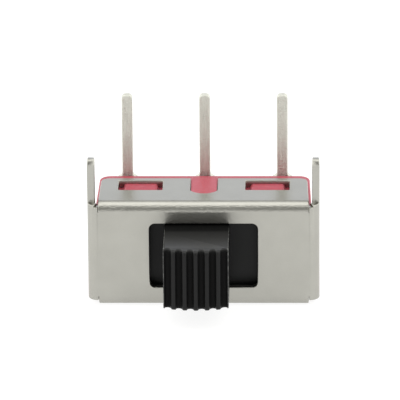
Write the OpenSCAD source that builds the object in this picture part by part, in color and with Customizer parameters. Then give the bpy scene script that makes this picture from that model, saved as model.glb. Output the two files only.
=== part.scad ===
// Right-angle miniature slide switch for a printed circuit board.
// A folded steel frame holds a moulded base with three terminals, and a ribbed knob slides along X.
//
// Board frame: the origin is the middle terminal, on the plane where the board seats (the outer face
// of the upper flange). +X runs along the travel, +Y away from the knob, +Z along the terminals.
// The modules draw in the switch frame: Y starts at the front face, Z at half height.

/* [Knob and travel] */
// Width of the knob along the travel
knob_w = 3.88; // [3:0.01:5]
// Height of the knob, across the travel
knob_h = 3.8; // [3:0.1:5]
// How far the crown of the knob stands out of the front face
knob_reach = 4.4; // [2:0.1:8]
// Radius of the crown, seen along the ribs
crown_r = 5.5; // [4:0.1:20]
// Radius of the knob's upper and lower front edges
knob_edge_r = 0.25; // [0.05:0.01:0.5]
// Number of grooves across the crown
groove_count = 6; // [2:1:7]
// Distance from groove to groove
groove_pitch = 0.665; // [0.5:0.005:0.7]
// Radius of the round groove bottom
groove_r = 0.2; // [0.1:0.01:0.24]
// Depth of a groove
groove_depth = 0.28; // [0.1:0.01:0.4]
// Full travel of the knob, from one end position to the other
travel = 2.2; // [1.5:0.1:4]
// Where the knob is parked, from mid travel
parked_at = -0.39; // [-0.7:0.01:0.7]

/* [Carriage inside] */
// Thickness of the carriage plate behind the opening
plate_t = 0.6; // [0.4:0.05:1]
// How far the plate still reaches behind the opening's end at full travel
plate_lap = 0.2; // [0.1:0.05:1]
// Width of the two runners that bear on the frame
runner_w = 0.3; // [0.2:0.05:0.6]
// Height of the runners, which sets the plate back from the frame
runner_h = 0.3; // [0.1:0.05:0.5]
// Length of the block behind the plate
block_len = 4; // [3.5:0.1:5]
// Height of the block behind the plate
block_h = 2.4; // [2:0.1:3.5]
// Radius of the spring pocket in the block
pocket_r = 0.9; // [0.8:0.05:1.1]
// Material between the spring pocket and the face of the plate
pocket_skin = 0.45; // [0.3:0.05:0.8]

/* [Contact bridge and spring] */
// Thickness of the bridge strip
bridge_t = 0.2; // [0.1:0.05:0.25]
// Height of the bridge strip
bridge_h = 1.6; // [1:0.1:1.9]
// Length of the two wings that hold the block
wing_len = 1; // [0.5:0.1:1.2]
// Distance between the two contact dimples
dimple_pitch = 3.4; // [2.9:0.1:3.6]
// Radius of a dimple's outer skin
dimple_r = 0.5; // [0.4:0.05:0.6]
// How far a dimple stands out of the strip
dimple_rise = 0.17; // [0.1:0.01:0.25]
// Outer radius of the coil spring
spring_r = 0.75; // [0.6:0.05:0.78]
// Thickness of the spring wire
wire_d = 0.2; // [0.12:0.01:0.25]
// Number of turns in the spring
spring_turns = 4; // [3:1:5]

/* [Base] */
// Wall of the base at each end of the cavity
end_wall = 0.73; // [0.4:0.01:1.5]
// Wall of the base above and below the cavity
side_wall = 0.37; // [0.3:0.01:1.5]
// Depth of the solid part behind the cavity
floor_t = 2.19; // [1:0.01:2.5]
// How far the base stands out behind the flanges
base_tail = 1.69; // [0.6:0.01:3]
// How far the base's front stands proud of the flanges at each end
base_proud = 0.16; // [0:0.01:0.16]
// Taper of the base's ends towards the rear, in millimetres for each millimetre of depth
base_draft = 0.03; // [0.01:0.005:0.05]
// Chamfer that keeps the base's front ends clear of the ears' bends
base_lead = 0.15; // [0.1:0.01:0.3]
// Radius of the base's upright rear corners
base_corner_r = 0.5; // [0.3:0.05:1.5]
// Radius of the base's long edges
base_edge_r = 0.1; // [0.1:0.01:0.3]

/* [Steel frame] */
// Thickness of the sheet
sheet_t = 0.45; // [0.25:0.05:0.5]
// Depth of the flanges, from the front face
flange_depth = 4.3; // [4:0.1:6]
// Inner radius of the folds along the flanges
fold_r = 0.15; // [0.1:0.05:0.4]
// Radius of the flanges' rear corners
flange_corner_r = 0.5; // [0.2:0.1:1.5]
// Radius of the knob opening's corners
opening_r = 0.35; // [0.1:0.05:0.8]
// How far the opening's middle lies below the middle of the front face
opening_drop = 0.05; // [0:0.01:0.1]

/* [Snap windows and board boss] */
// Distance of each snap window from the middle
window_x = 3.82; // [3.2:0.02:4]
// Length of a window, along X
window_w = 2.66; // [2:0.02:3]
// Width of a window, along Y
window_d = 1.61; // [1:0.01:1.8]
// Strip of flange left behind a window
window_land = 0.37; // [0.35:0.01:1]
// Length of the snap in a window
snap_w = 2.1; // [1:0.1:2.2]
// Length of the snap's lead-in slope
snap_lead = 0.4; // [0.2:0.05:0.6]
// Width of the notch in the middle of each flange
notch_w = 1.61; // [1:0.01:1.8]
// Length of the notch's straight sides
notch_side = 2.05; // [1:0.05:2.3]
// Height of the arc that closes the notch
notch_rise = 0.5; // [0.3:0.05:0.6]
// How far the snaps lie below the flange's outer face
snap_drop = 0.2; // [0.05:0.05:0.3]
// How far the boss lies below the flange's outer face
boss_drop = 0.05; // [0.02:0.01:0.2]
// How far the boss reaches behind the flange
boss_tail = 0.3; // [0:0.05:0.5]

/* [Ears and legs] */
// Inner radius of the bends at the ears
ear_bend_r = 0.19; // [0.15:0.01:0.5]
// Depth of an ear, from the front face
ear_depth = 1.35; // [1.1:0.05:2.5]
// How far the ear's upper edge lies below the board seat
ear_top_drop = 0.15; // [0.1:0.05:1]
// How far the ear's lower edge lies above the frame's underside
ear_foot_gap = 0.36; // [0.1:0.02:1.5]
// Width of the relief cut between the flange and the ear's bend
relief_w = 0.26; // [0.1:0.02:0.4]
// Depth of the relief cut, from the ear's upper edge
relief_d = 0.12; // [0.05:0.01:0.3]
// Depth of a leg, front to back
leg_d = 0.85; // [0.5:0.05:1]
// How far a leg stands up from the board seat
leg_rise = 2.55; // [1:0.05:5]
// Radius of the leg's coined nose, front and back
leg_nose_r = 0.3; // [0.05:0.05:0.4]

/* [Terminals] */
// Distance from terminal to terminal
pin_pitch = 4.7; // [4.2:0.1:6]
// Width of a pin
pin_w = 0.65; // [0.4:0.01:0.9]
// Thickness of the terminal strip
pin_t = 0.5; // [0.3:0.05:0.6]
// How far the pins stand up from the board seat
pin_rise = 4.62; // [2:0.01:8]
// Gap between the base and the upright pins
pin_gap = 0.21; // [0.2:0.01:1]
// Radius of the pin's coined nose, front and back
pin_nose_r = 0.2; // [0.05:0.01:0.25]
// Radius of the tip's corners, left and right
pin_corner_r = 0.14; // [0.05:0.01:0.2]
// Inner radius of the terminal's bend
pin_bend_r = 0.3; // [0.2:0.05:0.35]
// Width of the terminal strip below the shoulder
blade_w = 1.2; // [1:0.05:1.6]
// Radius of the shoulder where the strip narrows to the pin
shoulder_r = 0.275; // [0.1:0.005:0.275]
// How far the top of the shoulder lies below the board seat
shoulder_drop = 0.4; // [0.1:0.05:1.5]
// Thickness of the contact pads on the cavity floor
pad_t = 0.3; // [0.2:0.05:0.4]
// Height of the contact pads
pad_h = 2; // [1.8:0.1:3]
// Width of the middle contact pad
mid_pad_w = 2.4; // [2:0.1:2.6]
// Gap between neighbouring contact pads
pad_gap = 0.8; // [0.5:0.1:1]
// How far a side pad reaches past its terminal strip
pad_margin = 0.1; // [0.05:0.05:0.3]

/* [Clearances] */
// Gap between the knob and each end of the opening at full travel
knob_end_gap = 0.2; // [0.1:0.01:0.5]
// Gap between the knob and the opening's long edges
knob_side_gap = 0.15; // [0.05:0.01:0.3]
// Running gap between the carriage and what it slides on
slide_gap = 0.05; // [0.03:0.01:0.1]
// Running gap above and below the carriage plate
plate_side_gap = 0.1; // [0.05:0.01:0.2]
// Gap between the carriage plate and the cavity's end at full travel
stop_gap = 0.1; // [0.05:0.01:0.3]
// Fit of the base inside the frame, and of the terminals in the base
fit_gap = 0.03; // [0.02:0.01:0.04]
// Gap between the bridge's dimples and the pads
contact_gap = 0.03; // [0.02:0.01:0.05]
// Gap between the block and the bridge that floats behind it
float_gap = 0.2; // [0.1:0.05:0.3]
// Gap between the block's ends and the bridge's wings
wing_gap = 0.1; // [0.05:0.01:0.15]

/* [Hidden] */
$fn = 64;

// Small overlap that joins solids drawn face to face, and lets cuts run through
joint_lap = 0.02;
cut_over = 1;

// From the knob outwards, along the travel
opening_w = knob_w + travel + 2 * knob_end_gap;
plate_len = opening_w + travel + 2 * plate_lap;
side_pad_end = pin_pitch + blade_w / 2 + pad_margin;
cavity_len = max(plate_len + travel + 2 * stop_gap, 2 * (side_pad_end + stop_gap));
base_len = cavity_len + 2 * end_wall;
frame_len = base_len - 2 * base_proud;

// From the knob outwards, across the travel
opening_h = knob_h + 2 * knob_side_gap;
plate_h = opening_h + 2 * runner_w;
cavity_h = plate_h + 2 * plate_side_gap;
base_h = cavity_h + 2 * side_wall;
inner_h = base_h + 2 * fit_gap;
frame_h = inner_h + 2 * sheet_t;

// Planes from front to back
runner_y = sheet_t + slide_gap;
plate_y = runner_y + runner_h;
base_back = flange_depth + base_tail;
floor_y = base_back - floor_t;
pad_y = floor_y - pad_t;
bridge_back = pad_y - contact_gap - dimple_rise;
bridge_y = bridge_back - bridge_t;
block_back = bridge_y - float_gap;
pocket_y = plate_y + pocket_skin;
pin_y = base_back + pin_gap;
board_y = pin_y + pin_t / 2;

// Frame
fold_ro = fold_r + sheet_t;
ear_ro = ear_bend_r + sheet_t;
ear_top = frame_h / 2 - ear_top_drop;
ear_foot = -frame_h / 2 + ear_foot_gap;
leg_back = ear_depth;
leg_tip = frame_h / 2 + leg_rise;
window_back = flange_depth - window_land;
notch_arc_y = flange_depth - notch_side;
notch_r = (pow(notch_w / 2, 2) + pow(notch_rise, 2)) / (2 * notch_rise);

// Base
base_half = base_len / 2;
base_side_y = runner_y + base_lead;
base_arc_y = base_back - base_corner_r;
base_arc_half = base_half - base_draft * (base_arc_y - base_side_y);
draft_angle = atan(base_draft);
base_arc_x = base_arc_half - base_corner_r / cos(draft_angle);
snap_top = frame_h / 2 - snap_drop;
boss_top = frame_h / 2 - boss_drop;
boss_r = notch_w / 2 - fit_gap;
boss_front = notch_arc_y - notch_rise + fit_gap;

// Terminals
pin_tip = frame_h / 2 + pin_rise;
shoulder_z = frame_h / 2 - shoulder_drop;
mid_pad_end = mid_pad_w / 2;
side_pad_start = mid_pad_end + pad_gap;
side_pad_w = side_pad_end - side_pad_start;
side_pad_x = (side_pad_end + side_pad_start) / 2;

// Spring
coil_r = spring_r - wire_d / 2;
coil_start = pocket_y + wire_d / 2 + joint_lap;
coil_end = bridge_y - wire_d / 2 - joint_lap;
wire_sides = 8;
turn_steps = 20;

steel = [0.74, 0.74, 0.71];
red_nylon = [0.76, 0.16, 0.22];
tinned = [0.82, 0.79, 0.77];
black_nylon = [0.13, 0.13, 0.14];
silvered = [0.85, 0.84, 0.8];
spring_steel = [0.6, 0.6, 0.6];

// ---- Frames and outlines ----

// Moves a piece from the switch frame to the board frame
module on_board() {
  translate([0, -board_y, -frame_h / 2]) children();
}

// Extrudes an outline drawn in Y and Z along X, centred
module along_x(length) {
  rotate([90, 0, 90]) translate([0, 0, -length / 2]) linear_extrude(length) children();
}

// Extrudes an outline drawn in X and Z along Y, from y0 to y1
module along_y(y0, y1) {
  translate([0, y1, 0]) rotate([90, 0, 0]) linear_extrude(y1 - y0) children();
}

// A box centred in X and Z, from y0 to y1
module slab(w, h, y0, y1) {
  translate([-w / 2, y0, -h / 2]) cube([w, y1 - y0, h]);
}

// A rectangle from corner to corner, with round corners
module round_rect(x0, y0, x1, y1, r) {
  translate([x0 + r, y0]) square([x1 - x0 - 2 * r, y1 - y0]);
  translate([x0, y0 + r]) square([x1 - x0, y1 - y0 - 2 * r]);
  for (x = [x0 + r, x1 - r], y = [y0 + r, y1 - r]) translate([x, y]) circle(r);
}

// Both the upper and the lower half: the lower one is the upper one mirrored
module both_halves() {
  children();
  mirror([0, 0, 1]) children();
}

// Both ends: the left one is the right one mirrored
module both_ends() {
  children();
  mirror([1, 0, 0]) children();
}

// ---- Steel frame ----

// Section of the folded channel, front plate and two flanges
module channel_section() {
  difference() {
    union() {
      round_rect(0, -frame_h / 2, 3 * fold_ro, frame_h / 2, fold_ro);
      translate([fold_ro, -frame_h / 2]) square([flange_depth - fold_ro, frame_h]);
    }
    round_rect(sheet_t, -inner_h / 2, sheet_t + 3 * fold_ro, inner_h / 2, fold_r);
    translate([fold_ro, -inner_h / 2]) square([flange_depth, inner_h]);
  }
}

// Plan of a flange, with its rear corners rounded
module flange_plan() {
  round_rect(-frame_len / 2, -flange_depth, frame_len / 2, flange_depth, flange_corner_r);
}

// Plan of the notch in a flange, closed at the front by a shallow arc
module notch_plan() {
  translate([-notch_w / 2, notch_arc_y]) square([notch_w, notch_side + cut_over]);
  intersection() {
    translate([0, notch_arc_y - notch_rise + notch_r]) circle(notch_r);
    translate([-notch_w / 2, 0]) square([notch_w, notch_arc_y + joint_lap]);
  }
}

module flange_cuts() {
  translate([0, 0, inner_h / 2 - joint_lap]) linear_extrude(sheet_t + cut_over) {
    for (x = [-window_x, window_x])
      translate([x - window_w / 2, window_back - window_d]) square([window_w, window_d]);
    notch_plan();
  }
}

// Plan of the right ear: the bend and the flat behind it
module ear_plan() {
  difference() {
    union() {
      intersection() {
        translate([frame_len / 2, ear_ro]) circle(ear_ro);
        translate([frame_len / 2, 0]) square(ear_ro);
      }
      translate([frame_len / 2 + ear_bend_r, ear_ro]) square([sheet_t, ear_depth - ear_ro]);
      translate([frame_len / 2 - joint_lap, 0]) square([joint_lap, sheet_t]);
    }
    translate([frame_len / 2, ear_ro]) circle(ear_bend_r);
  }
}

// Side view of the leg, with its tip rounded front and back
module leg_side() {
  nose_r = min(leg_nose_r, leg_d / 2 - joint_lap);
  round_rect(leg_back - leg_d, -nose_r, leg_back, leg_tip, nose_r);
}

// A bent ear with its upright leg, and the relief cut that freed it from the flange
module ear() {
  difference() {
    translate([0, 0, ear_foot]) linear_extrude(ear_top - ear_foot) ear_plan();
    translate([frame_len / 2 - cut_over, -cut_over, ear_top - relief_d])
      cube([cut_over + relief_w, 2 * cut_over + ear_ro, relief_d + cut_over]);
  }
  intersection() {
    linear_extrude(leg_tip) ear_plan();
    translate([frame_len / 2 + ear_ro / 2, 0, 0]) along_x(ear_ro + joint_lap) leg_side();
  }
}

module frame() {
  color(steel) on_board() {
    difference() {
      intersection() {
        along_x(frame_len) channel_section();
        translate([0, 0, -frame_h]) linear_extrude(2 * frame_h) flange_plan();
      }
      translate([0, 0, -opening_drop]) along_y(-cut_over, sheet_t + joint_lap)
        round_rect(-opening_w / 2, -opening_h / 2, opening_w / 2, opening_h / 2, opening_r);
      both_halves() flange_cuts();
    }
    both_ends() ear();
  }
}

// ---- Moulded base ----

// A snap fills the middle of its window, with a slope on the side that enters the frame first
module snap() {
  front = window_back - window_d + fit_gap;
  back = window_back - fit_gap;
  root = base_h / 2 - base_edge_r;
  along_x(snap_w) polygon([
    [front, root], [back, root], [back, base_h / 2], [back - snap_lead / 3, snap_top],
    [front + snap_lead, snap_top], [front, base_h / 2]
  ]);
}

// The boss fills the notch, with a half-round front
module boss() {
  translate([0, 0, base_h / 2 - base_edge_r]) linear_extrude(boss_top - base_h / 2 + base_edge_r) {
    translate([0, boss_front + boss_r]) circle(boss_r);
    translate([-boss_r, boss_front + boss_r])
      square([2 * boss_r, flange_depth + boss_tail - boss_front - boss_r]);
  }
}

// Plan of the right half of the base, which narrows towards its rounded rear corner
module base_plan() {
  side_x = base_arc_x + base_corner_r * cos(draft_angle);
  side_y = base_arc_y + base_corner_r * sin(draft_angle);
  polygon([
    [-joint_lap, runner_y], [base_half - base_lead, runner_y], [base_half, base_side_y],
    [side_x, side_y], [base_arc_x, base_back], [-joint_lap, base_back]
  ]);
  translate([base_arc_x, base_arc_y]) circle(base_corner_r);
}

module base() {
  color(red_nylon) on_board() difference() {
    union() {
      intersection() {
        along_x(base_len) round_rect(runner_y, -base_h / 2, base_back, base_h / 2, base_edge_r);
        both_ends() translate([0, 0, -base_h]) linear_extrude(2 * base_h) base_plan();
      }
      both_halves() {
        boss();
        for (x = [-window_x, window_x]) translate([x, 0, 0]) snap();
      }
    }
    slab(cavity_len, cavity_h, 0, floor_y);
    for (x = [-pin_pitch, 0, pin_pitch]) translate([x, 0, 0])
      slab(blade_w + 2 * fit_gap, pin_t + 2 * fit_gap, floor_y - joint_lap, base_back + cut_over);
  }
}

// ---- Terminals ----

// Front view of the upright strip: the blade narrows to the pin with a concave shoulder
module upright_front() {
  foot = pin_t / 2 + pin_bend_r;
  shoulder_w = pin_w + 2 * shoulder_r;
  translate([-blade_w / 2, foot]) square([blade_w, shoulder_z - shoulder_r - foot]);
  round_rect(-pin_w / 2, foot, pin_w / 2, pin_tip, min(pin_corner_r, pin_w / 2 - joint_lap));
  difference() {
    translate([-shoulder_w / 2, shoulder_z - shoulder_r - joint_lap])
      square([shoulder_w, shoulder_r + joint_lap]);
    for (x = [-shoulder_w / 2, shoulder_w / 2]) translate([x, shoulder_z]) circle(shoulder_r);
  }
}

// Side view of the upright strip, with its tip rounded front and back
module upright_side() {
  round_rect(pin_y, 0, pin_y + pin_t, pin_tip, min(pin_nose_r, pin_t / 2 - joint_lap));
}

// Side view of the bend from the level strip to the upright one
module bend_side() {
  bend_ro = pin_bend_r + pin_t;
  centre = [pin_y - pin_bend_r, pin_t / 2 + pin_bend_r];
  intersection() {
    difference() {
      translate(centre) circle(bend_ro);
      translate(centre) circle(pin_bend_r);
    }
    translate([centre[0], centre[1] - bend_ro]) square(bend_ro);
  }
}

// One terminal: pad on the cavity floor, strip through the base, bend, upright and pin
module terminal(x, pad_x, pad_w) {
  color(tinned) on_board() {
    translate([pad_x, 0, 0]) slab(pad_w, pad_h, pad_y, floor_y);
    translate([x, 0, 0]) {
      slab(blade_w, pin_t, pad_y, pin_y - pin_bend_r);
      along_x(blade_w) bend_side();
      intersection() {
        along_y(pin_y, pin_y + pin_t) upright_front();
        along_x(blade_w) upright_side();
      }
    }
  }
}

module terminal_left() {
  terminal(-pin_pitch, -side_pad_x, side_pad_w);
}

module terminal_common() {
  terminal(0, 0, mid_pad_w);
}

module terminal_right() {
  terminal(pin_pitch, side_pad_x, side_pad_w);
}

// ---- Slider with its contact parts ----

// Moves what slides to where the knob is parked
module parked() {
  translate([parked_at, 0, 0]) children();
}

// Depth of the crown's surface at x, in front of the face
function crown_y(x) = crown_r - knob_reach - sqrt(pow(crown_r, 2) - pow(x, 2));

// Knob and stem, with a crowned and grooved front
module knob() {
  back = plate_y + joint_lap;
  difference() {
    intersection() {
      along_x(knob_w)
        round_rect(-knob_reach, -knob_h / 2, back + knob_edge_r, knob_h / 2, knob_edge_r);
      translate([0, crown_r - knob_reach, -knob_h]) cylinder(r = crown_r, h = 2 * knob_h, $fn = 128);
      slab(knob_w, knob_h, -knob_reach, back);
    }
    for (i = [0 : groove_count - 1]) {
      x = (i - (groove_count - 1) / 2) * groove_pitch;
      y = crown_y(x) + groove_depth - groove_r;
      translate([x, y, -knob_h]) cylinder(r = groove_r, h = 2 * knob_h, $fn = 32);
      translate([x - groove_r, y - cut_over, -knob_h]) cube([2 * groove_r, cut_over, 2 * knob_h]);
    }
  }
}

module slider() {
  color(black_nylon) on_board() parked() {
    knob();
    difference() {
      union() {
        slab(plate_len, plate_h, plate_y, plate_y + plate_t);
        both_halves() translate([-plate_len / 2, runner_y, plate_h / 2 - runner_w + slide_gap])
          cube([plate_len, runner_h + joint_lap, runner_w - slide_gap]);
        slab(block_len, block_h, plate_y, block_back);
      }
      rotate([-90, 0, 0]) translate([0, 0, pocket_y])
        cylinder(r = pocket_r, h = block_back - pocket_y + cut_over);
    }
  }
}

// A formed strip: two wings hold the block, and two hollow dimples bear on the pads
module contact_bridge() {
  strip_len = block_len + 2 * (wing_gap + bridge_t);
  dimple_y = bridge_back + dimple_rise - dimple_r;
  color(silvered) on_board() parked() difference() {
    union() {
      slab(strip_len, bridge_h, bridge_y, bridge_back);
      both_ends() translate([strip_len / 2 - bridge_t, bridge_back - wing_len, -bridge_h / 2])
        cube([bridge_t, wing_len, bridge_h]);
      for (x = [-dimple_pitch / 2, dimple_pitch / 2]) intersection() {
        translate([x, dimple_y, 0]) sphere(dimple_r);
        translate([x, 0, 0]) slab(2 * dimple_r, 2 * dimple_r, bridge_y + joint_lap, pad_y);
      }
    }
    for (x = [-dimple_pitch / 2, dimple_pitch / 2])
      translate([x, dimple_y, 0]) sphere(dimple_r - bridge_t);
  }
}

// Point on the coil's centre line at turn t, counted from the pocket's bottom
function coil_point(t) = [
  coil_r * cos(360 * t), coil_start + (coil_end - coil_start) * t / spring_turns, coil_r * sin(360 * t)
];

// Ring of points round the wire at turn t
function wire_ring(t) = [
  for (s = [0 : wire_sides - 1])
    let (a = 360 * s / wire_sides, out = wire_d / 2 * cos(a))
    coil_point(t) + [out * cos(360 * t), wire_d / 2 * sin(a), out * sin(360 * t)]
];

module contact_spring() {
  rings = spring_turns * turn_steps;
  points = [for (i = [0 : rings]) each wire_ring(i / turn_steps)];
  sides = [
    for (i = [0 : rings - 1], s = [0 : wire_sides - 1])
      let (n = (s + 1) % wire_sides, a = i * wire_sides, b = a + wire_sides)
      [a + s, a + n, b + n, b + s]
  ];
  start_cap = [for (s = [wire_sides - 1 : -1 : 0]) s];
  end_cap = [for (s = [0 : wire_sides - 1]) rings * wire_sides + s];
  color(spring_steel) on_board() parked()
    polyhedron(points = points, faces = concat(sides, [start_cap, end_cap]), convexity = 8);
}

frame();
base();
terminal_left();
terminal_common();
terminal_right();
slider();
contact_bridge();
contact_spring();
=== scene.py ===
import math

import bmesh
import bpy
from mathutils import Matrix, Vector


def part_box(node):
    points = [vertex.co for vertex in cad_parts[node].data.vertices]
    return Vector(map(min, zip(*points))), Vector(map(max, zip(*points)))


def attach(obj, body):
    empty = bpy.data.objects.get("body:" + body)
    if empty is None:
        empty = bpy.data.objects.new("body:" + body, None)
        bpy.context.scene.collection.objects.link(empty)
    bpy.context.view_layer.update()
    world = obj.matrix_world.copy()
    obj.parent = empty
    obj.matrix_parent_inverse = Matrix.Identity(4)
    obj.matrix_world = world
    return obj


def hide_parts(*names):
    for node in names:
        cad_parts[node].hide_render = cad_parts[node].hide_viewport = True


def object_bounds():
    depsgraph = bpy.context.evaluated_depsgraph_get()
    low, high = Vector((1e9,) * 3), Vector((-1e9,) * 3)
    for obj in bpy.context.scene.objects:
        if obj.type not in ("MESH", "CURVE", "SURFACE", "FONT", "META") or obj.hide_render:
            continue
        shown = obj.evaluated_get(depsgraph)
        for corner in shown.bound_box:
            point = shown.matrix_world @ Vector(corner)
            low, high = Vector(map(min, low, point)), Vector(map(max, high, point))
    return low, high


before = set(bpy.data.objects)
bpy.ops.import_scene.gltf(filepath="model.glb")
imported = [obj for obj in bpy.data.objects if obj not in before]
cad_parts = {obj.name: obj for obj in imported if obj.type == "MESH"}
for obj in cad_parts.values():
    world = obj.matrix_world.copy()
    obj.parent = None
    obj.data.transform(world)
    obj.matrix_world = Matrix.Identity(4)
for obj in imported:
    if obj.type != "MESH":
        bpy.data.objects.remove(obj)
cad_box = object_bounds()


# ---- Steel frame ----
# One blank of cold-rolled steel, stamped with its openings and plated with nickel. Its flanges and
# ears are folded back on a brake, and each ear ends in an upright leg that is soldered to the board.

MM = 0.001
NEAR = 1e-4
ON_PLANE = 1e-5
frame_low, frame_high = (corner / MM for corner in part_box("frame"))
SHEET_T = 0.45
FRAME_H = -frame_low.z
FACE_Y = frame_low.y
FLANGE_D = frame_high.y - frame_low.y
FOLD_R = 0.6
FLANGE_CORNER_R = 0.5
EAR_R = 0.64
HALF_LEN = frame_high.x - EAR_R
FLANGE_HALF = HALF_LEN - 0.1
EAR_D = 1.35
EAR_TOP = FRAME_H / 2 - 0.15
EAR_FOOT = 0.36 - FRAME_H / 2
RELIEF_TOP = EAR_TOP - 0.14
SLIT_W = 0.015
LEG_TIP = frame_high.z + FRAME_H / 2
LEG_COIN = Vector((0.06, 0.3, 0.44))
OPENING_W = 6.48
OPENING_H = 4.1
OPENING_DROP = 0.05
OPENING_R = 0.35
WINDOW_X = 3.82
WINDOW_W = 2.66
WINDOW_FRONT = 2.32
WINDOW_BACK = 3.93
WINDOW_R = 0.08
NOTCH_W = 1.61
NOTCH_SIDE_Y = 2.25
NOTCH_FRONT = 1.75
RELIEF_W = 0.26
LEG_FRONT = 0.5
FOLD_STEPS = 10
STAMPED_EDGE = 0.045
RIGHT, BACK, UP = Vector((1, 0, 0)), Vector((0, 1, 0)), Vector((0, 0, 1))


def new_face(bm, points, y=0):
    """One flat face through points given as (x, z), on an upright plane at depth y."""
    return bm.faces.new([bm.verts.new((x, y, z)) for x, z in points])


def round_corners(bm, verts, radius, segments=6):
    """Rounds corners of a flat face."""
    bmesh.ops.bevel(
        bm, geom=verts, offset=radius, offset_type="OFFSET", segments=segments, profile=0.5,
        affect="VERTICES", clamp_overlap=True, material=-1,
    )


def round_edges(bm, edges, radius, segments=2):
    """Rounds edges of a solid."""
    bmesh.ops.bevel(
        bm, geom=edges, offset=radius, offset_type="OFFSET", segments=segments, profile=0.5,
        affect="EDGES", clamp_overlap=False, loop_slide=False, material=-1,
    )


def whole(faces):
    """Faces with their edges and vertices, each once and always in the same order."""
    return [
        *faces, *dict.fromkeys(e for f in faces for e in f.edges),
        *dict.fromkeys(v for f in faces for v in f.verts),
    ]


def corners_of(faces):
    return list(dict.fromkeys(v for f in faces for v in f.verts))


def edges_where(bm, test):
    """Edges whose ends both pass a test."""
    return [e for e in bm.edges if all(test(v.co) for v in e.verts)]


def sharp_edges(bm, angle=50):
    return [e for e in bm.edges if e.is_manifold and e.calc_face_angle(0) > math.radians(angle)]


def push(bm, faces, move):
    """Extrudes faces and moves them. Returns the moved faces."""
    made = bmesh.ops.extrude_face_region(bm, geom=whole(faces))["geom"]
    moved = [f for f in made if isinstance(f, bmesh.types.BMFace)]
    bmesh.ops.translate(bm, vec=move, verts=corners_of(moved))
    return moved


def slice_faces(bm, faces, point, across):
    """Cuts faces where the plane through a point meets them. Returns what lies on the cut."""
    cut = bmesh.ops.bisect_plane(
        bm, geom=whole(faces), dist=ON_PLANE, plane_co=point, plane_no=across,
    )
    return cut["geom_cut"]


def coin_tip(bm, faces, inset, steps=8):
    """Draws a flat upper end out into a blunt point, drawn in and up by inset along an ellipse."""
    corners = [v.co for v in corners_of(faces)]
    low = Vector([min(co[k] for co in corners) for k in range(3)])
    high = Vector([max(co[k] for co in corners) for k in range(3)])
    centre, reach = (low + high) / 2, (high - low) / 2
    angles = [math.pi / 2 * k / steps for k in range(steps + 1)]
    for last, angle in zip(angles, angles[1:]):
        faces = push(bm, faces, UP * inset.z * (math.sin(angle) - math.sin(last)))
        shrink = [
            (reach[k] - inset[k] * (1 - math.cos(angle))) / (reach[k] - inset[k] * (1 - math.cos(last)))
            for k in range(2)
        ]
        bmesh.ops.scale(
            bm, vec=(*shrink, 1), space=Matrix.Translation(-centre), verts=corners_of(faces),
        )


def fold(bm, belongs, start, away, radius):
    """Folds what lies past a line back by 90 degrees, round a bend with this outer radius."""
    bend = radius * math.pi / 2
    for k in range(FOLD_STEPS + 1):
        part = [f for f in bm.faces if k == 0 or belongs(f.calc_center_median())]
        slice_faces(bm, part, start + away * bend * k / FOLD_STEPS, away)
    stretched = bm.verts.layers.float["stretched"]
    for v in bm.verts:
        past = (v.co - start).dot(away)
        if belongs(v.co) and past > ON_PLANE:
            turn, flat = min(past, bend) / radius, max(0, past - bend)
            v[stretched] = math.sin(min(math.pi, 3 * turn))
            inward = radius - v.co.y
            v.co += away * (inward * math.sin(turn) - past)
            v.co.y = radius - inward * math.cos(turn) + flat


def put_in_order(bm):
    """Sorts a mesh by place, since the operators above leave its elements in a chance order."""
    ways = (
        (bm.verts, lambda v: [round(d / ON_PLANE) for d in v.co]),
        (bm.edges, lambda e: sorted(v.index for v in e.verts)),
        (bm.faces, lambda f: sorted(v.index for v in f.verts)),
    )
    for parts, key in ways:
        rank = {part: k for k, part in enumerate(sorted(parts, key=key))}
        parts.sort(key=rank.get)
        parts.index_update()


def finish_piece(bm, name, material, body, nodes):
    """Turns a mesh drawn in millimetres from the face's middle into a piece in the board frame."""
    put_in_order(bm)
    bmesh.ops.dissolve_limit(
        bm, angle_limit=math.radians(0.3), use_dissolve_boundaries=False, verts=bm.verts,
        edges=bm.edges, delimit={"SEAM"},
    )
    bmesh.ops.translate(bm, vec=(0, FACE_Y, -FRAME_H / 2), verts=bm.verts)
    bmesh.ops.scale(bm, vec=(MM, MM, MM), verts=bm.verts)
    mesh = bpy.data.meshes.new(name)
    bm.to_mesh(mesh)
    bm.free()
    mesh.shade_smooth()
    mesh.set_sharp_from_angle(angle=math.radians(50))
    mesh.materials.append(material)
    piece = bpy.data.objects.new(name, mesh)
    bpy.context.scene.collection.objects.link(piece)
    even = piece.modifiers.new("even shading", "WEIGHTED_NORMAL")
    even.keep_sharp = True
    even.weight = 80
    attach(piece, body)
    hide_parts(*nodes)
    return piece


def srgb(code):
    """A colour written as #RRGGBB, as the linear values that a shader takes."""
    parts = [int(code[i:i + 2], 16) / 255 for i in (1, 3, 5)]
    return (*[p / 12.92 if p <= 0.04045 else ((p + 0.055) / 1.055) ** 2.4 for p in parts], 1)


def node(tree, kind, inputs=None, **settings):
    """Adds a node with its settings, and sets or links its inputs."""
    made = tree.nodes.new(kind)
    for name, value in settings.items():
        setattr(made, name, value)
    for name, value in (inputs or {}).items():
        if isinstance(value, bpy.types.NodeSocket):
            tree.links.new(value, made.inputs[name])
        else:
            made.inputs[name].default_value = value
    return made


def start_material(name):
    material = bpy.data.materials.new(name)
    material.use_nodes = True
    return material, material.node_tree, material.node_tree.nodes["Principled BSDF"]


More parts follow.
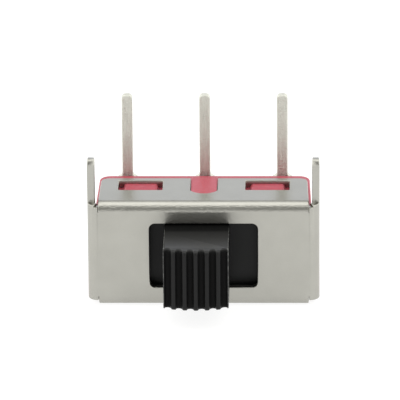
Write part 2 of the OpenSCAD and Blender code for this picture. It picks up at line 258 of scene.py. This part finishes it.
def nickel_plate():
    """Bright nickel over rolled sheet: a soft mirror, mottled where a bend has stretched it."""
    material, tree, shader = start_material("nickel plate on cold-rolled steel")
    place = node(tree, "ShaderNodeTexCoord").outputs["Object"]
    cloud = node(
        tree, "ShaderNodeTexNoise", {"Vector": place, "Scale": 1 / (1.4 * MM), "Detail": 3.0},
    ).outputs["Fac"]
    colour = node(tree, "ShaderNodeMix", {"Factor": cloud}, data_type="RGBA")
    colour.inputs["A"].default_value = srgb("#A4A39C")
    colour.inputs["B"].default_value = srgb("#B0AFA8")
    tree.links.new(colour.outputs["Result"], shader.inputs["Base Color"])
    rolled = node(
        tree, "ShaderNodeMapping",
        {"Vector": place, "Scale": (1 / (3 * MM), 1 / (0.08 * MM), 1 / (0.08 * MM))},
    ).outputs["Vector"]
    lines = node(tree, "ShaderNodeTexNoise", {"Vector": rolled, "Scale": 1.0, "Detail": 2.0})
    pulled = node(
        tree, "ShaderNodeMapping",
        {"Vector": place, "Scale": (1 / (0.16 * MM), 1 / (0.09 * MM), 1 / (0.09 * MM))},
    ).outputs["Vector"]
    dimples = node(tree, "ShaderNodeTexNoise", {"Vector": pulled, "Scale": 1.0, "Detail": 2.0})
    rough = node(
        tree, "ShaderNodeMapRange",
        {"Value": dimples.outputs["Fac"], "To Min": 0.26, "To Max": 0.34},
    )
    tree.links.new(rough.outputs["Result"], shader.inputs["Roughness"])
    stretched = node(tree, "ShaderNodeAttribute", attribute_name="stretched").outputs["Fac"]
    peel = node(tree, "ShaderNodeMapRange", {"Value": stretched, "To Min": 0.1, "To Max": 0.4})
    coarse = node(
        tree, "ShaderNodeBump",
        {"Height": dimples.outputs["Fac"], "Strength": peel.outputs["Result"], "Distance": 0.06 * MM},
    )
    fine = node(
        tree, "ShaderNodeBump",
        {"Height": lines.outputs["Fac"], "Strength": 0.15, "Distance": 0.004 * MM,
         "Normal": coarse.outputs["Normal"]},
    )
    tree.links.new(fine.outputs["Normal"], shader.inputs["Normal"])
    shader.inputs["Metallic"].default_value = 1.0
    return material


def cut_blank(bm):
    """The flat blank, seen from the front, with its flanges, ears and legs laid out in one plane."""
    fold_z = FRAME_H / 2 - FOLD_R

    def laid_out(y):
        """Height in the blank of a flange's line that ends up at depth y."""
        return fold_z + FOLD_R * math.pi / 2 + y - FOLD_R

    ear_root = HALF_LEN + SLIT_W
    relief_end = HALF_LEN + EAR_R * math.asin(RELIEF_W / EAR_R)
    leg_start = HALF_LEN + EAR_R * math.acos(1 - LEG_FRONT / EAR_R)
    ear_end = HALF_LEN + EAR_R * math.pi / 2 + EAR_D - EAR_R
    leg_end = LEG_TIP - LEG_COIN.z
    notch_r = ((NOTCH_W / 2) ** 2 + (NOTCH_SIDE_Y - NOTCH_FRONT) ** 2) / 2 / (NOTCH_SIDE_Y - NOTCH_FRONT)
    half_arc = math.asin(NOTCH_W / 2 / notch_r)
    arc = [half_arc * (k / 5 - 1) for k in range(11)]
    notch = [
        (notch_r * math.sin(a), laid_out(NOTCH_FRONT) + notch_r * (1 - math.cos(a))) for a in arc
    ]
    back = laid_out(FLANGE_D)
    right = [
        (FLANGE_HALF, back), (HALF_LEN, fold_z), (ear_root, fold_z), (ear_root, RELIEF_TOP),
        (relief_end, RELIEF_TOP), (relief_end, EAR_TOP), (leg_start, EAR_TOP), (leg_start, leg_end),
        (ear_end, leg_end), (ear_end, EAR_FOOT), (ear_root, EAR_FOOT), (ear_root, -fold_z),
        (HALF_LEN, -fold_z), (FLANGE_HALF, -back),
    ]
    left = [(-x, z) for x, z in reversed(right)]
    upper = [(-NOTCH_W / 2, back), *notch, (NOTCH_W / 2, back)]
    lower = [(-x, -z) for x, z in upper]
    outline = new_face(bm, [*upper, *right, *lower, *left])
    corners = [
        v for v in outline.verts if abs(abs(v.co.x) - FLANGE_HALF) + abs(abs(v.co.z) - back) < NEAR
    ]
    round_corners(bm, corners, FLANGE_CORNER_R, 8)

    def hole(x0, z0, x1, z1, radius, segments=6):
        face = new_face(bm, [(x0, z0), (x1, z0), (x1, z1), (x0, z1)])
        round_corners(bm, face.verts[:], radius, segments)

    half_w, half_h = OPENING_W / 2, OPENING_H / 2
    hole(-half_w, -half_h - OPENING_DROP, half_w, half_h - OPENING_DROP, OPENING_R)
    for side in (-1, 1):
        for x in (-WINDOW_X, WINDOW_X):
            ends = sorted((side * laid_out(WINDOW_FRONT), side * laid_out(WINDOW_BACK)))
            hole(x - WINDOW_W / 2, ends[0], x + WINDOW_W / 2, ends[1], WINDOW_R, 3)
    bmesh.ops.delete(bm, geom=bm.faces[:], context="FACES_ONLY")
    bmesh.ops.triangle_fill(bm, use_beauty=True, use_dissolve=False, edges=bm.edges[:], normal=-BACK)


def make_frame():
    bm = bmesh.new()
    bm.verts.layers.float.new("stretched")
    cut_blank(bm)
    push(bm, bm.faces[:], BACK * SHEET_T)
    bmesh.ops.recalc_face_normals(bm, faces=bm.faces)
    leg_end = LEG_TIP - LEG_COIN.z
    rims = [
        e for e in edges_where(bm, lambda co: abs(co.z - leg_end) < NEAR)
        if abs(e.verts[0].co.x) > HALF_LEN
    ]
    slits = edges_where(
        bm, lambda co: HALF_LEN + NEAR < abs(co.x) < HALF_LEN + SLIT_W + NEAR and co.z > 0,
    )
    stamped = [e for e in sharp_edges(bm) if e.is_convex and e not in rims and e not in slits]
    round_edges(bm, stamped, STAMPED_EDGE)
    for away in (UP, -UP):
        fold(bm, lambda co: abs(co.x) < HALF_LEN + NEAR, away * (FRAME_H / 2 - FOLD_R), away, FOLD_R)
    for away in (RIGHT, -RIGHT):
        fold(bm, lambda co: co.dot(away) > HALF_LEN - NEAR, away * HALF_LEN, away, EAR_R)
    for side in (-1, 1):
        ends = [
            f for f in bm.faces
            if all(v.co.z > leg_end - NEAR for v in f.verts) and f.calc_center_median().x * side > 0
        ]
        coin_tip(bm, ends, LEG_COIN)
    return bm


finish_piece(
    make_frame(), "steel_frame", nickel_plate(), "housing", ["frame"],
)


# ---- Moulded base ----
# Red nylon, injection-moulded as one open box with a solid back. It slides into the frame from
# behind until its snaps spring into the flange windows, and its bosses fill the notches.

base_low, base_high = (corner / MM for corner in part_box("base"))
BASE_HALF = base_high.x
BASE_DRAFT = 0.022
BASE_LEAD = 0.15
FIT_GAP = 0.03
BASE_H = FRAME_H - 2 * (SHEET_T + FIT_GAP)
BASE_FRONT = base_low.y - FACE_Y
BASE_BACK = base_high.y - FACE_Y
BASE_CORNER_R = 0.65
MOULD_EDGE_R = 0.04
SLOT_DEPTH = 1.5
BASE_EDGE_R = 0.1
CAVITY_LEN = 11.48
CAVITY_H = 4.9
CAVITY_BACK = BASE_BACK - 2.19
BOSS_TOP = FRAME_H / 2 - 0.05
BOSS_R = NOTCH_W / 2 - FIT_GAP
BOSS_FRONT = NOTCH_FRONT + FIT_GAP
BOSS_BACK = FLANGE_D + 0.3
SNAP_TOP = FRAME_H / 2 - 0.2
SNAP_W = 2.1
SNAP_LEAD = 0.4
SNAP_END_R = 0.2
PIN_PITCH = 4.7
BLADE_W = 1.2
PIN_T = 0.5


def add_block(bm, low, high):
    """A box from corner to corner."""
    low, high = Vector(low), Vector(high)
    place = Matrix.LocRotScale((low + high) / 2, None, high - low)
    return bmesh.ops.create_cube(bm, size=1, matrix=place)["verts"]


def patch(bm, normal, low, high):
    """Cuts a rectangle, from corner to corner, out of a flat side of a solid. Returns its faces."""
    low, high = Vector(low), Vector(high)
    level = low.dot(normal)

    def side():
        return [f for f in bm.faces if all(abs(v.co.dot(normal) - level) < NEAR for v in f.verts)]

    for corner in (low, high):
        for axis in (RIGHT, BACK, UP):
            if abs(axis.dot(normal)) < 0.5:
                slice_faces(bm, side(), corner, axis)
    middle, reach = (low + high) / 2, (high - low) / 2
    return [
        f for f in side()
        if all(abs(d) <= r + NEAR for d, r in zip(f.calc_center_median() - middle, reach))
    ]


def red_nylon():
    """Moulded red nylon: a satin skin over a fine grain, with paler and deeper clouds of pigment."""
    material, tree, shader = start_material("moulded red nylon")
    place = node(tree, "ShaderNodeTexCoord").outputs["Object"]
    cloud = node(
        tree, "ShaderNodeTexNoise", {"Vector": place, "Scale": 1 / (0.3 * MM), "Detail": 3.0},
    ).outputs["Fac"]
    colour = node(tree, "ShaderNodeMix", {"Factor": cloud}, data_type="RGBA")
    colour.inputs["A"].default_value = srgb("#9A2B3B")
    colour.inputs["B"].default_value = srgb("#A94A58")
    tree.links.new(colour.outputs["Result"], shader.inputs["Base Color"])
    grain = node(
        tree, "ShaderNodeTexNoise", {"Vector": place, "Scale": 1 / (0.06 * MM), "Detail": 2.0},
    ).outputs["Fac"]
    bump = node(
        tree, "ShaderNodeBump", {"Height": grain, "Strength": 0.3, "Distance": 0.01 * MM},
    )
    tree.links.new(bump.outputs["Normal"], shader.inputs["Normal"])
    shader.inputs["Roughness"].default_value = 0.38
    shader.inputs["Subsurface Weight"].default_value = 0.15
    shader.inputs["Subsurface Scale"].default_value = 0.2 * MM
    return material


def make_base():
    bm = bmesh.new()
    half_h = BASE_H / 2
    front_half = BASE_HALF + BASE_DRAFT * BASE_LEAD
    add_block(bm, (-front_half, BASE_FRONT, -half_h), (front_half, BASE_BACK, half_h))
    for y, radius, segments in ((BASE_FRONT, BASE_LEAD, 1), (BASE_BACK, BASE_CORNER_R, 8)):
        ends = edges_where(bm, lambda co: abs(co.y - y) < NEAR)
        round_edges(bm, [e for e in ends if e.verts[0].co.z * e.verts[1].co.z < 0], radius, segments)
    for v in bm.verts:
        v.co.x -= math.copysign(BASE_DRAFT * (v.co.y - BASE_FRONT), v.co.x)
    for side in (-1, 1):
        rim = edges_where(bm, lambda co: co.z * side > half_h - NEAR)
        round_edges(bm, rim, BASE_EDGE_R, 4)
    cavity = patch(
        bm, BACK, (-CAVITY_LEN / 2, BASE_FRONT, -CAVITY_H / 2),
        (CAVITY_LEN / 2, BASE_FRONT, CAVITY_H / 2),
    )
    push(bm, cavity, BACK * (CAVITY_BACK - BASE_FRONT))
    slot_x, slot_z = BLADE_W / 2 + FIT_GAP, PIN_T / 2 + FIT_GAP
    for x in (-PIN_PITCH, 0, PIN_PITCH):
        slot = patch(bm, BACK, (x - slot_x, BASE_BACK, -slot_z), (x + slot_x, BASE_BACK, slot_z))
        push(bm, slot, BACK * -SLOT_DEPTH)
    for side in (-1, 1):
        top, away = side * half_h, UP * side
        for x in (-WINDOW_X, WINDOW_X):
            snap = patch(
                bm, away, (x - SNAP_W / 2, WINDOW_FRONT + FIT_GAP, top),
                (x + SNAP_W / 2, WINDOW_BACK - FIT_GAP, top),
            )
            crest = corners_of(push(bm, snap, away * (SNAP_TOP - half_h)))
            front = [v for v in crest if v.co.y < WINDOW_FRONT + SNAP_LEAD / 2]
            bmesh.ops.translate(bm, vec=BACK * SNAP_LEAD, verts=front)
            ends = [
                e for e in dict.fromkeys(e for v in crest for e in v.link_edges)
                if abs(e.verts[0].co.x - e.verts[1].co.x) < NEAR and all(v in crest for v in e.verts)
            ]
            round_edges(bm, ends, SNAP_END_R, 5)
        boss = patch(bm, away, (-BOSS_R, BOSS_FRONT, top), (BOSS_R, BOSS_BACK, top))
        crest = corners_of(push(bm, boss, away * (BOSS_TOP - half_h)))
        nose = [
            e for v in crest if v.co.y < BOSS_FRONT + NEAR for e in v.link_edges
            if abs(e.verts[0].co.z - e.verts[1].co.z) > 0.1
        ]
        round_edges(bm, nose, BOSS_R - 0.01, 8)
    round_edges(bm, sharp_edges(bm), MOULD_EDGE_R)
    return bm


finish_piece(make_base(), "moulded_base", red_nylon(), "housing", ["base"])


# ---- Terminals ----
# Three strips of brass, stamped, coined smooth and dipped in tin. Each is pressed through the base
# from behind, with a contact pad in the cavity, and bends up into a pin with a rounded tip.

PIN_W = 0.65
PIN_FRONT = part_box("terminal_common")[1].y / MM - FACE_Y - PIN_T
PIN_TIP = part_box("terminal_common")[1].z / MM + FRAME_H / 2
PIN_BEND_R = 0.3
TIP_R = 0.24
PIN_EDGE = 0.08
SHOULDER_R = 0.275
SHOULDER_Z = FRAME_H / 2 - 0.4
PAD_T = 0.3
PAD_H = 2.0


def tin_plate():
    """Dipped tin over rolled brass: a satin skin that ran down in fine streaks and pimples."""
    material, tree, shader = start_material("tin plate on brass")
    place = node(tree, "ShaderNodeTexCoord").outputs["Object"]
    along = node(
        tree, "ShaderNodeMapping",
        {"Vector": place, "Scale": (1 / (0.07 * MM), 1 / (0.07 * MM), 1 / (0.8 * MM))},
    ).outputs["Vector"]
    streaks = node(
        tree, "ShaderNodeTexNoise", {"Vector": along, "Scale": 1.0, "Detail": 2.0},
    ).outputs["Fac"]
    colour = node(tree, "ShaderNodeMix", {"Factor": streaks}, data_type="RGBA")
    colour.inputs["A"].default_value = srgb("#BFBEB6")
    colour.inputs["B"].default_value = srgb("#D8D9D1")
    tree.links.new(colour.outputs["Result"], shader.inputs["Base Color"])
    runs = node(
        tree, "ShaderNodeBump", {"Height": streaks, "Strength": 1.0, "Distance": 0.035 * MM},
    )
    pimples = node(
        tree, "ShaderNodeTexNoise", {"Vector": place, "Scale": 1 / (0.07 * MM), "Detail": 1.0},
    ).outputs["Fac"]
    bump = node(
        tree, "ShaderNodeBump",
        {"Height": pimples, "Strength": 1.0, "Distance": 0.03 * MM, "Normal": runs.outputs["Normal"]},
    )
    tree.links.new(bump.outputs["Normal"], shader.inputs["Normal"])
    shader.inputs["Metallic"].default_value = 1.0
    shader.inputs["Roughness"].default_value = 0.55
    return material


def make_terminal(x, pad_low, pad_high):
    bm = bmesh.new()
    foot = PIN_T / 2 + PIN_BEND_R
    arc = [math.radians(90 * k / 6) for k in range(7)]
    shoulder = [
        (BLADE_W / 2 - SHOULDER_R * math.sin(a), SHOULDER_Z - SHOULDER_R * math.cos(a)) for a in arc
    ]
    right = [(BLADE_W / 2, foot), *shoulder, (PIN_W / 2, PIN_TIP)]
    left = [(-px, pz) for px, pz in reversed(right)]
    strip = new_face(bm, [*right, *left], PIN_FRONT)
    round_corners(bm, [v for v in strip.verts if v.co.z > PIN_TIP - NEAR], TIP_R)
    push(bm, bm.faces[:], BACK * PIN_T)
    bottom = [f for f in bm.faces if all(abs(v.co.z - foot) < NEAR for v in f.verts)]
    centre = (0, PIN_FRONT - PIN_BEND_R, foot)
    bend = bmesh.ops.spin(
        bm, geom=whole(bottom), cent=centre, axis=(1, 0, 0), angle=-math.pi / 2, steps=6,
    )["geom_last"]
    end = [f for f in bend if isinstance(f, bmesh.types.BMFace)]
    push(bm, end, BACK * (CAVITY_BACK - PIN_FRONT + PIN_BEND_R))
    end = [f for f in bm.faces if all(v.co.y < CAVITY_BACK + NEAR for v in f.verts)]
    pad = push(bm, end, BACK * 0)
    for v in corners_of(pad):
        v.co.x = pad_high - x if v.co.x > 0 else pad_low - x
        v.co.z = math.copysign(PAD_H / 2, v.co.z)
    push(bm, pad, BACK * -PAD_T)
    bmesh.ops.recalc_face_normals(bm, faces=bm.faces)
    round_edges(bm, sharp_edges(bm, 60), PIN_EDGE, 4)
    bmesh.ops.translate(bm, vec=(x, 0, 0), verts=bm.verts)
    return bm


tin = tin_plate()
for name, x in (("left", -PIN_PITCH), ("common", 0), ("right", PIN_PITCH)):
    low, high = (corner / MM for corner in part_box(f"terminal_{name}"))
    finish_piece(
        make_terminal(x, low.x, high.x), f"terminal_strip_{name}", tin, "housing",
        [f"terminal_{name}"],
    )


# ---- Slider ----
# Black nylon, injection-moulded in one piece: the ribbed knob, the carriage plate with its two
# runners, and behind it the block whose pocket holds the contact spring.

slider_low, slider_high = (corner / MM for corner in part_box("slider"))
PLATE_LEN = slider_high.x - slider_low.x
PARKED = (slider_high.x + slider_low.x) / 2
KNOB_W = 3.88
KNOB_H = 3.8
KNOB_REACH = FACE_Y - slider_low.y
CROWN_R = 5.5
KNOB_EDGE_R = 0.25
GROOVES = 6
GROOVE_PITCH = 0.665
GROOVE_R = 0.2
GROOVE_DEPTH = 0.28
RIB_MARGIN = 0.07
# Painted shade: the knob's top gets a duller, darker finish next to the frame (1.0 at the root, down to
# 0.25 near the front), standing in for the shade the frame throws on it.
KNOB_TOP_SHADE = [(0.3, 1.0), (-0.8, 1.0), (-1.2, 0.65), (0.75 - KNOB_REACH, 0.25)]
FLASH_R = 0.05
CREASE = 0.5
RUNNER_FRONT = SHEET_T + 0.05
RUNNER_W = 0.25
PLATE_FRONT = RUNNER_FRONT + 0.3
PLATE_T = 0.6
PLATE_H = slider_high.z - slider_low.z
BLOCK_LEN = 4.0
BLOCK_H = 2.4
BLOCK_BACK = slider_high.y - FACE_Y
POCKET_R = 0.9
POCKET_BOTTOM = PLATE_FRONT + 0.45


def black_nylon():
    """Moulded black nylon: a soft shine on top, rougher grooves, and a pale ragged flash line. Its shine
    is also turned down as painted shade, in the grooves and at the knob's root.
    """
    material, tree, shader = start_material("moulded black nylon")
    place = node(tree, "ShaderNodeTexCoord").outputs["Object"]
    grain = node(
        tree, "ShaderNodeTexNoise", {"Vector": place, "Scale": 1 / (0.08 * MM), "Detail": 2.0},
    ).outputs["Fac"]
    matt_and_shade = node(tree, "ShaderNodeAttribute", attribute_name="matt_and_shade").outputs["Fac"]
    skin = node(tree, "ShaderNodeMapRange", {"Value": grain, "To Min": 0.26, "To Max": 0.36})
    rough = node(tree, "ShaderNodeMix", {"Factor": matt_and_shade, "A": skin.outputs["Result"], "B": 0.6})
    tree.links.new(rough.outputs["Result"], shader.inputs["Roughness"])
    # Painted shade: the specular level falls from 0.43 to 0.04 as the knob's vertex value rises. This
    # darkens the grooves and the top next to the frame.
    shine = node(tree, "ShaderNodeMapRange", {"Value": matt_and_shade, "To Min": 0.43, "To Max": 0.04})
    tree.links.new(shine.outputs["Result"], shader.inputs["Specular IOR Level"])
    bump = node(
        tree, "ShaderNodeBump", {"Height": grain, "Strength": 0.25, "Distance": 0.01 * MM},
    )
    tree.links.new(bump.outputs["Normal"], shader.inputs["Normal"])
    chips = node(
        tree, "ShaderNodeTexNoise", {"Vector": place, "Scale": 1 / (0.3 * MM), "Detail": 3.0},
    ).outputs["Fac"]
    ragged = node(
        tree, "ShaderNodeMapRange", {"Value": chips, "From Min": 0.4, "From Max": 0.6, "To Max": -1.0},
    ).outputs["Result"]
    edge = node(tree, "ShaderNodeMath", {"Value": matt_and_shade}, operation="MULTIPLY", use_clamp=True)
    tree.links.new(ragged, edge.inputs[1])
    colour = node(tree, "ShaderNodeMix", {"Factor": edge.outputs["Value"]}, data_type="RGBA")
    colour.inputs["A"].default_value = srgb("#0D0D0D")
    colour.inputs["B"].default_value = srgb("#8C8C8A")
    tree.links.new(colour.outputs["Result"], shader.inputs["Base Color"])
    return material


GROOVE_CENTRES = [(k - (GROOVES - 1) / 2) * GROOVE_PITCH for k in range(GROOVES)]
RIB_EDGE = GROOVE_DEPTH - GROOVE_R


def rib_depth(x):
    """How far the ribbed front lies behind the crown: round grooves between round ribs."""
    off = min(abs(x - centre) for centre in GROOVE_CENTRES)
    if off < GROOVE_R:
        return RIB_EDGE + math.sqrt(GROOVE_R ** 2 - off ** 2)
    to_top = max(0, GROOVE_R + RIB_EDGE - off)
    return RIB_EDGE - math.sqrt(RIB_EDGE ** 2 - to_top ** 2)


def rib_cuts():
    """Where the front is cut along its ribs: close together round each groove."""
    turns = [math.pi / 2 * k / 6 for k in range(7)]
    off = [GROOVE_R * math.sin(t) for t in turns]
    off += [GROOVE_R + RIB_EDGE * (1 - math.cos(t)) for t in turns]
    cuts = {round(centre + side * d, 4) for centre in GROOVE_CENTRES for side in (-1, 1) for d in off}
    return sorted(x for x in cuts if abs(x) < KNOB_W / 2 - RIB_MARGIN)


def make_slider():
    bm = bmesh.new()
    half_len, half_h = PLATE_LEN / 2, PLATE_H / 2
    plate_back = PLATE_FRONT + PLATE_T
    add_block(bm, (-half_len, PLATE_FRONT, -half_h), (half_len, plate_back, half_h))
    for side in (-1, 1):
        z = sorted((side * half_h, side * (half_h - RUNNER_W)))
        runner = patch(
            bm, BACK, (-half_len, PLATE_FRONT, z[0]), (half_len, PLATE_FRONT, z[1]),
        )
        push(bm, runner, BACK * (RUNNER_FRONT - PLATE_FRONT))
    block = patch(
        bm, BACK, (-BLOCK_LEN / 2, plate_back, -BLOCK_H / 2), (BLOCK_LEN / 2, plate_back, BLOCK_H / 2),
    )
    push(bm, block, BACK * (BLOCK_BACK - plate_back))
    mouth = [f for f in bm.faces if all(v.co.y > BLOCK_BACK - NEAR for v in f.verts)]
    bmesh.ops.delete(bm, geom=mouth, context="FACES_ONLY")
    place = Matrix.Translation((0, BLOCK_BACK, 0)) @ Matrix.Rotation(math.pi / 2, 4, "X")
    bmesh.ops.create_circle(bm, cap_ends=False, radius=POCKET_R, segments=32, matrix=place)
    rims = edges_where(bm, lambda co: co.y > BLOCK_BACK - NEAR)
    bmesh.ops.triangle_fill(bm, use_beauty=True, use_dissolve=False, edges=rims, normal=BACK)
    pocket = [e for e in rims if e.is_boundary]
    made = bmesh.ops.extrude_edge_only(bm, edges=pocket)["geom"]
    deep = [v for v in made if isinstance(v, bmesh.types.BMVert)]
    bmesh.ops.translate(bm, vec=BACK * (POCKET_BOTTOM - BLOCK_BACK), verts=deep)
    bmesh.ops.contextual_create(bm, geom=[e for e in bm.edges if all(v in deep for v in e.verts)])
    knob = patch(
        bm, BACK, (-KNOB_W / 2, PLATE_FRONT, -KNOB_H / 2), (KNOB_W / 2, PLATE_FRONT, KNOB_H / 2),
    )
    push(bm, knob, BACK * (-KNOB_REACH - PLATE_FRONT))
    cuts = [(x, RIGHT) for x in rib_cuts()]
    bends = [math.radians(90 * k / 6) for k in range(7)]
    for a in bends:
        z = KNOB_H / 2 - KNOB_EDGE_R * (1 - math.sin(a))
        cuts += [(z, UP), (-z, UP)]
    for at, axis in cuts:
        front = [f for f in bm.faces if any(v.co.y < -KNOB_REACH + NEAR for v in f.verts)]
        slice_faces(bm, front, axis * at, axis)
    matt_and_shade = bm.verts.layers.float.new("matt_and_shade")
    for v in bm.verts:
        v[matt_and_shade] = 0.45
        if v.co.y < -KNOB_REACH + NEAR:
            past = max(0, abs(v.co.z) - KNOB_H / 2 + KNOB_EDGE_R)
            crown = CROWN_R - math.sqrt(CROWN_R ** 2 - v.co.x ** 2)
            # The grooves get a higher value. They get a rougher grain, and also painted shade through
            # the turned-down shine.
            groove = min(1, rib_depth(v.co.x) / GROOVE_DEPTH * 1.3)
            v[matt_and_shade] = (0.5 + 0.4 * groove) * (1 - (past / KNOB_EDGE_R) ** 4)
            v.co.y += crown + rib_depth(v.co.x) + KNOB_EDGE_R
            v.co.y -= math.sqrt(max(0, KNOB_EDGE_R ** 2 - past ** 2))
    # Cuts the knob's top across at these depths and sets the painted shade value there.
    for y, value in KNOB_TOP_SHADE:
        ahead = [f for f in bm.faces if any(v.co.y < y - NEAR for v in f.verts)]
        for made in slice_faces(bm, ahead, BACK * y, BACK):
            if isinstance(made, bmesh.types.BMVert):
                made[matt_and_shade] = value
            else:
                made.seam = True
    outline = [
        e for e in edges_where(bm, lambda co: abs(abs(co.x) - KNOB_W / 2) < NEAR and co.y < PLATE_FRONT)
        if e.calc_face_angle(0) > CREASE
    ]
    outline += [
        e for e in bm.edges if e.calc_face_angle(0) > CREASE
        and all(abs(abs(v.co.x) - KNOB_W / 2) + abs(abs(v.co.z) - KNOB_H / 2) < NEAR for v in e.verts)
        and e not in outline
    ]
    round_edges(bm, outline, FLASH_R)
    for v in bm.verts:
        if v.co.y < 0 and 0.1 < (KNOB_W / 2 - abs(v.co.x)) / FLASH_R < 0.9:
            v[matt_and_shade] = -1.0
    bmesh.ops.recalc_face_normals(bm, faces=bm.faces)
    bmesh.ops.translate(bm, vec=(PARKED, 0, 0), verts=bm.verts)
    return bm


finish_piece(make_slider(), "ribbed_slider", black_nylon(), "slider", ["slider"])


# ---- Contact bridge and spring ----
# A silvered bronze strip joins two neighbouring pads, and a coil of spring wire in the slider's
# pocket presses it against them.

def silver_plate():
    """Silver on rolled bronze: a pale mirror, dulled where it wipes over the pads."""
    material, tree, shader = start_material("silver plate on bronze")
    place = node(tree, "ShaderNodeTexCoord").outputs["Object"]
    wiped = node(
        tree, "ShaderNodeMapping",
        {"Vector": place, "Scale": (1 / (0.6 * MM), 1 / (0.05 * MM), 1 / (0.05 * MM))},
    ).outputs["Vector"]
    lines = node(
        tree, "ShaderNodeTexNoise", {"Vector": wiped, "Scale": 1.0, "Detail": 2.0},
    ).outputs["Fac"]
    rough = node(tree, "ShaderNodeMapRange", {"Value": lines, "To Min": 0.15, "To Max": 0.35})
    tree.links.new(rough.outputs["Result"], shader.inputs["Roughness"])
    shader.inputs["Base Color"].default_value = srgb("#DEDBD2")
    shader.inputs["Metallic"].default_value = 1.0
    return material


def spring_wire():
    """Hard-drawn spring wire: a grey mirror, dulled in fine specks."""
    material, tree, shader = start_material("hard-drawn spring wire")
    place = node(tree, "ShaderNodeTexCoord").outputs["Object"]
    specks = node(
        tree, "ShaderNodeTexNoise", {"Vector": place, "Scale": 1 / (0.05 * MM), "Detail": 2.0},
    ).outputs["Fac"]
    rough = node(tree, "ShaderNodeMapRange", {"Value": specks, "To Min": 0.25, "To Max": 0.45})
    tree.links.new(rough.outputs["Result"], shader.inputs["Roughness"])
    shader.inputs["Base Color"].default_value = srgb("#A3A3A3")
    shader.inputs["Metallic"].default_value = 1.0
    return material


for name, material in (("contact_bridge", silver_plate()), ("contact_spring", spring_wire())):
    inner = bpy.data.objects[name].data
    inner.materials.clear()
    inner.materials.append(material)


# ---- Studio ----
# A plain table top of opal glass, evenly lit from below, in a pale room with bright side walls, one
# soft light overhead and a dark screen in front. A long lens stands in front of the switch.

def bands(tree, value, stops, strength):
    """Brightness along a value from 0 to 1, blended between stops, in units of strength."""
    ramp = node(tree, "ShaderNodeValToRGB", {"Fac": value})
    stack = ramp.color_ramp
    for k, (at, level) in enumerate(stops):
        stop = stack.elements[k] if k < 2 else stack.elements.new(at)
        stop.position = at
        stop.color = (*[part / strength for part in level], 1)
    return ramp.outputs["Color"]


def eased(tree, value, start, end):
    """0 where a value is under start, 1 where it is over end, with a smooth step between."""
    made = node(
        tree, "ShaderNodeMapRange", {"Value": value, "From Min": start, "From Max": end},
        interpolation_type="SMOOTHSTEP",
    )
    return made.outputs["Result"]


def opal_glass():
    """Plain opal glass with a dull top: the same glow all over, dimmed only by what stands on it."""
    material, _, shader = start_material("opal glass")
    shader.inputs["Emission Color"].default_value = (1, 1, 1, 1)
    shader.inputs["Emission Strength"].default_value = 0.85
    shader.inputs["Base Color"].default_value = (0.25, 0.25, 0.25, 1)
    shader.inputs["Specular IOR Level"].default_value = 0.0
    return material


TABLE_Z = cad_box[0].z
TABLE_REACH = 1.5
table = bmesh.new()
bmesh.ops.create_grid(table, x_segments=1, y_segments=1, size=TABLE_REACH)
bmesh.ops.translate(table, vec=(0, 0, TABLE_Z), verts=table.verts)
table_mesh = bpy.data.meshes.new("table")
table.to_mesh(table_mesh)
table.free()
table_mesh.materials.append(opal_glass())
table_top = bpy.data.objects.new("table", table_mesh)
bpy.context.scene.collection.objects.link(table_top)

ROOM = 2.5
ROUND_THE_ROOM = [
    (0, (1.0, 1.0, 1.0)), (8, (0.9, 0.9, 0.9)), (13, (0.17, 0.17, 0.16)), (38, (0.17, 0.17, 0.16)),
    (60, (0.9, 0.9, 0.88)), (74, (2.1, 2.1, 2.05)), (104, (2.1, 2.1, 2.05)), (126, (0.65, 0.65, 0.65)),
    (143, (0.55, 0.55, 0.55)), (156, (1.12, 1.15, 1.22)), (180, (1.12, 1.15, 1.2)),
]
SIDE = (1.8, 1.8, 1.75)
world = bpy.data.worlds.new("studio")
bpy.context.scene.world = world
world.use_nodes = True
tree = world.node_tree
way = node(tree, "ShaderNodeTexCoord").outputs["Generated"]
way = node(tree, "ShaderNodeSeparateXYZ", {"Vector": way}).outputs
ahead = node(tree, "ShaderNodeMath", operation="MULTIPLY")
tree.links.new(way["Y"], ahead.inputs[0])
ahead.inputs[1].default_value = -1
turn = node(tree, "ShaderNodeMath", operation="ARCTAN2")
tree.links.new(way["Z"], turn.inputs[0])
tree.links.new(ahead.outputs["Value"], turn.inputs[1])
half = node(tree, "ShaderNodeMath", operation="DIVIDE")
tree.links.new(turn.outputs["Value"], half.inputs[0])
half.inputs[1].default_value = math.pi
stops = [(angle / 180, level) for angle, level in ROUND_THE_ROOM]
room = bands(tree, half.outputs["Value"], stops, ROOM)
sideways = node(tree, "ShaderNodeMath", operation="ABSOLUTE")
tree.links.new(way["X"], sideways.inputs[0])
walls = node(
    tree, "ShaderNodeMix", {"Factor": eased(tree, sideways.outputs["Value"], 0.15, 0.5)},
    data_type="RGBA",
)
tree.links.new(room, walls.inputs["A"])
walls.inputs["B"].default_value = (*[part / ROOM for part in SIDE], 1)
tree.links.new(walls.outputs["Result"], tree.nodes["Background"].inputs["Color"])
tree.nodes["Background"].inputs["Strength"].default_value = ROOM

AIM = Vector((-0.188, FACE_Y, 3.53 - FRAME_H / 2)) * MM
AZIMUTH = math.radians(1.2)
ELEVATION = math.radians(21)
DISTANCE = 330 * MM
FIELD = 23.87 * MM
toward = Vector((
    math.sin(AZIMUTH) * math.cos(ELEVATION), -math.cos(AZIMUTH) * math.cos(ELEVATION),
    math.sin(ELEVATION),
))
level = (RIGHT - toward * toward.x).normalized()
camera_data = bpy.data.cameras.new("camera")
camera_data.sensor_width = 36
camera_data.lens = 36 * DISTANCE / FIELD
camera_data.clip_start = 0.01
camera_data.clip_end = 10
camera = bpy.data.objects.new("camera", camera_data)
camera.matrix_world = (
    Matrix.Translation(AIM + toward * DISTANCE)
    @ Matrix((level, toward.cross(level), toward)).transposed().to_4x4()
)
bpy.context.scene.collection.objects.link(camera)
bpy.context.scene.camera = camera
bpy.context.scene.view_settings.view_transform = "Standard"
